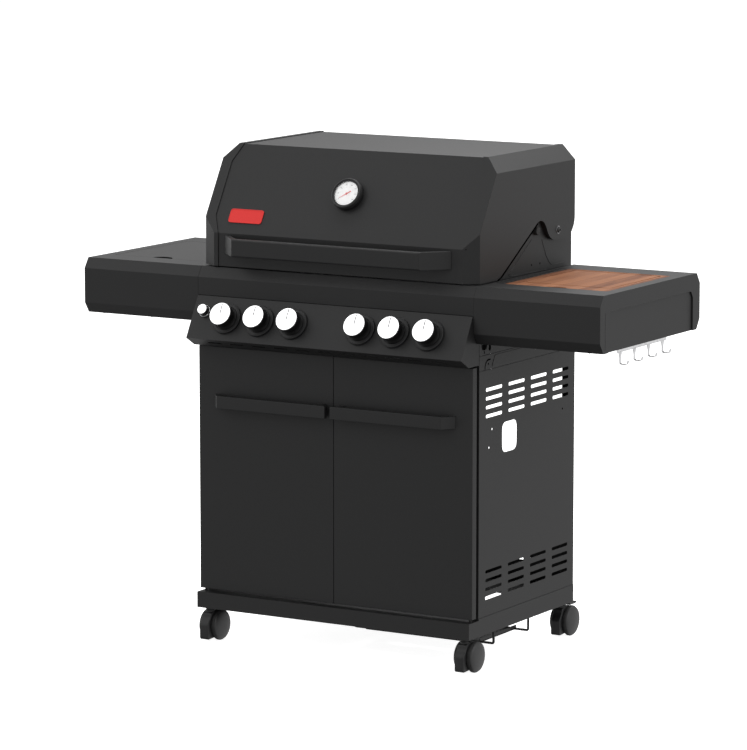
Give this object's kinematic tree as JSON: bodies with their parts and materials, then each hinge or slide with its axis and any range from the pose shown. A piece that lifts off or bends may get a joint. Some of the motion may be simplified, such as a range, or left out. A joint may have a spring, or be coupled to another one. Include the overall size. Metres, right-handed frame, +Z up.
{
  "type": "gas barbecue grill",
  "caption": "Cabinet-style gas barbecue with hinged hood, cook box, burners, side shelves with side burner and cutting board, doors and castors.",
  "frame": {"origin": "centre of the footprint, on the floor under the castors", "axes": "+X to the right seen from the front, +Y to the back, +Z up; the front faces -Y"},
  "size_m": [1.42, 0.6234, 1.2061],
  "materials": {
    "black_coat": "satin graphite-black powder coat, fine texture",
    "black_enamel": "black porcelain enamel",
    "stainless": "brushed stainless steel",
    "polished_steel": "bright polished steel",
    "black_plastic": "moulded black plastic",
    "wheel_plastic": "fine-textured black polyamide",
    "knob_black": "satin black knob body",
    "cast_iron": "seasoned cast iron",
    "bamboo": "oiled reddish-brown wood, strip laminated",
    "red_paint": "gloss red"
  },
  "bodies": {
    "cart": {"base_tray": "black_coat", "side_panel_left": "black_coat", "side_panel_right": "black_coat", "back_panel": "black_coat", "bottle_cradle": "black_coat", "center_fascia": "black_coat", "control_panel": "black_coat", "gas_manifold": "stainless", "knob_bezel_1": "black_plastic", "knob_bezel_2": "black_plastic", "knob_bezel_3": "black_plastic", "knob_bezel_4": "black_plastic", "knob_bezel_5": "black_plastic", "knob_bezel_6": "black_plastic", "firebox": "black_enamel", "firebox_side_left": "black_coat", "firebox_side_right": "black_coat", "burner_1": "stainless", "burner_2": "stainless", "burner_3": "stainless", "burner_4": "stainless", "cooking_grate_left": "cast_iron", "cooking_grate_right": "cast_iron", "warming_rack": "stainless", "rear_burner": "stainless", "shelf_left": "black_coat", "shelf_right": "black_coat", "side_burner": "cast_iron", "hook_rail": "polished_steel"},
    "hood": {"lid_shell": "black_coat", "lid_end_cap_left": "black_coat", "lid_end_cap_right": "black_coat", "lid_handle": "black_coat", "thermometer": "black_plastic", "badge": "red_paint"},
    "needle": {"thermometer_needle": "red_paint"},
    "left_door": {"door_left": "black_coat", "door_handle_left": "black_coat"},
    "right_door": {"door_right": "black_coat", "door_handle_right": "black_coat"},
    "burner_cover": {"side_burner_lid": "black_coat"},
    "board": {"cutting_board": "bamboo"},
    "drip_tray": {"grease_tray": "stainless"},
    "igniter": {"igniter_button": "polished_steel"},
    "dial_1": {"knob_1": "knob_black"},
    "dial_2": {"knob_2": "knob_black"},
    "dial_3": {"knob_3": "knob_black"},
    "dial_4": {"knob_4": "knob_black"},
    "dial_5": {"knob_5": "knob_black"},
    "dial_6": {"knob_6": "knob_black"},
    "swivel_front_left": {"castor_fork_front_left": "black_plastic"},
    "wheels_front_left": {"castor_wheels_front_left": "wheel_plastic"},
    "swivel_front_right": {"castor_fork_front_right": "black_plastic"},
    "wheels_front_right": {"castor_wheels_front_right": "wheel_plastic"},
    "swivel_rear_left": {"castor_fork_rear_left": "black_plastic"},
    "wheels_rear_left": {"castor_wheels_rear_left": "wheel_plastic"},
    "swivel_rear_right": {"castor_fork_rear_right": "black_plastic"},
    "wheels_rear_right": {"castor_wheels_rear_right": "wheel_plastic"},
    "pedal_rear_left": {"castor_brake_rear_left": "black_plastic"},
    "pedal_rear_right": {"castor_brake_rear_right": "black_plastic"}
  },
  "joints": [
    {"name": "lid_hinge", "type": "hinge", "parent": "cart", "child": "hood", "pos_m": [0, 0.1795, 1.0088], "axis": [-1, 0, 0], "range_deg": [0, 85]},
    {"name": "temperature", "type": "hinge", "parent": "hood", "child": "needle", "pos_m": [0, -0.1659, 1.1018], "axis": [0, 0.8617, -0.5073], "range_deg": [0, 250], "stiffness_Nm_per_rad": 0.001},
    {"name": "door_left_hinge", "type": "hinge", "parent": "cart", "child": "left_door", "pos_m": [-0.368, -0.2276, 0.43], "axis": [0, 0, -1], "range_deg": [0, 110]},
    {"name": "door_right_hinge", "type": "hinge", "parent": "cart", "child": "right_door", "pos_m": [0.368, -0.2276, 0.43], "axis": [0, 0, 1], "range_deg": [0, 110]},
    {"name": "burner_cover_hinge", "type": "hinge", "parent": "cart", "child": "burner_cover", "pos_m": [-0.5455, 0.1714, 0.9161], "axis": [-1, 0, 0], "range_deg": [0, 100]},
    {"name": "board_lift", "type": "slide", "parent": "cart", "child": "board", "axis": [0, 0, 1], "range_m": [0, 0.05]},
    {"name": "drip_tray_slide", "type": "slide", "parent": "cart", "child": "drip_tray", "axis": [0, 1, 0], "range_m": [0, 0.35]},
    {"name": "igniter_push", "type": "slide", "parent": "cart", "child": "igniter", "axis": [0, 0.8758, -0.4827], "range_m": [0, 0.004], "stiffness_N_per_m": 400},
    {"name": "knob_1_turn", "type": "hinge", "parent": "cart", "child": "dial_1", "pos_m": [-0.279, -0.2667, 0.7994], "axis": [0, -0.8758, 0.4827], "range_deg": [0, 210]},
    {"name": "knob_2_turn", "type": "hinge", "parent": "cart", "child": "dial_2", "pos_m": [-0.186, -0.2667, 0.7994], "axis": [0, -0.8758, 0.4827], "range_deg": [0, 210]},
    {"name": "knob_3_turn", "type": "hinge", "parent": "cart", "child": "dial_3", "pos_m": [-0.093, -0.2667, 0.7994], "axis": [0, -0.8758, 0.4827], "range_deg": [0, 210]},
    {"name": "knob_4_turn", "type": "hinge", "parent": "cart", "child": "dial_4", "pos_m": [0.093, -0.2667, 0.7994], "axis": [0, -0.8758, 0.4827], "range_deg": [0, 210]},
    {"name": "knob_5_turn", "type": "hinge", "parent": "cart", "child": "dial_5", "pos_m": [0.186, -0.2667, 0.7994], "axis": [0, -0.8758, 0.4827], "range_deg": [0, 210]},
    {"name": "knob_6_turn", "type": "hinge", "parent": "cart", "child": "dial_6", "pos_m": [0.279, -0.2667, 0.7994], "axis": [0, -0.8758, 0.4827], "range_deg": [0, 210]},
    {"name": "swivel_front_left_turn", "type": "hinge", "parent": "cart", "child": "swivel_front_left", "pos_m": [-0.3556, -0.2308, 0.08], "axis": [0, 0, 1], "continuous": true},
    {"name": "wheel_front_left_roll", "type": "hinge", "parent": "swivel_front_left", "child": "wheels_front_left", "pos_m": [-0.3556, -0.2088, 0.0375], "axis": [1, 0, 0], "continuous": true},
    {"name": "swivel_front_right_turn", "type": "hinge", "parent": "cart", "child": "swivel_front_right", "pos_m": [0.3556, -0.2308, 0.08], "axis": [0, 0, 1], "continuous": true},
    {"name": "wheel_front_right_roll", "type": "hinge", "parent": "swivel_front_right", "child": "wheels_front_right", "pos_m": [0.3556, -0.2088, 0.0375], "axis": [1, 0, 0], "continuous": true},
    {"name": "swivel_rear_left_turn", "type": "hinge", "parent": "cart", "child": "swivel_rear_left", "pos_m": [-0.3556, 0.2462, 0.08], "axis": [0, 0, 1], "continuous": true},
    {"name": "wheel_rear_left_roll", "type": "hinge", "parent": "swivel_rear_left", "child": "wheels_rear_left", "pos_m": [-0.3556, 0.2682, 0.0375], "axis": [1, 0, 0], "continuous": true},
    {"name": "swivel_rear_right_turn", "type": "hinge", "parent": "cart", "child": "swivel_rear_right", "pos_m": [0.3556, 0.2462, 0.08], "axis": [0, 0, 1], "continuous": true},
    {"name": "wheel_rear_right_roll", "type": "hinge", "parent": "swivel_rear_right", "child": "wheels_rear_right", "pos_m": [0.3556, 0.2682, 0.0375], "axis": [1, 0, 0], "continuous": true},
    {"name": "brake_rear_left_press", "type": "hinge", "parent": "swivel_rear_left", "child": "pedal_rear_left", "pos_m": [-0.3556, 0.2762, 0.077], "axis": [-1, 0, 0], "range_deg": [0, 12]},
    {"name": "brake_rear_right_press", "type": "hinge", "parent": "swivel_rear_right", "child": "pedal_rear_right", "pos_m": [0.3556, 0.2762, 0.077], "axis": [-1, 0, 0], "range_deg": [0, 12]}
  ]
}
